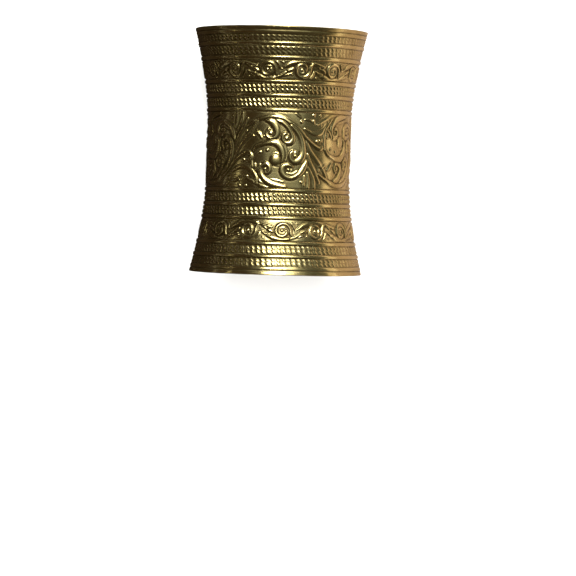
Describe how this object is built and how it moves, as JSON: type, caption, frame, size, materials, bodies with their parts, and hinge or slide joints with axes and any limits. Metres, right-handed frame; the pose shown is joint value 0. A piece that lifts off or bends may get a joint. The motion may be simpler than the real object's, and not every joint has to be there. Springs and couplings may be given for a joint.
{
  "type": "arm cuff",
  "caption": "Waisted brass arm cuff, open along the back, embossed all round with acanthus scrolls between vine bands, rope bands and ridges.",
  "frame": {"origin": "on the surface that the cuff lies on, under the middle of its box", "axes": "+Y along the cuff's axis towards its upper rim, +Z out through the middle of the ornament, so the opening faces down, +X to the right of the ornament seen from outside"},
  "size_m": [0.077, 0.108, 0.0737],
  "materials": {
    "brass": "embossed and lacquered, dark olive in the hollows, bright on the raised lines"
  },
  "bodies": {
    "root": {"cuff": "brass"}
  },
  "joints": []
}
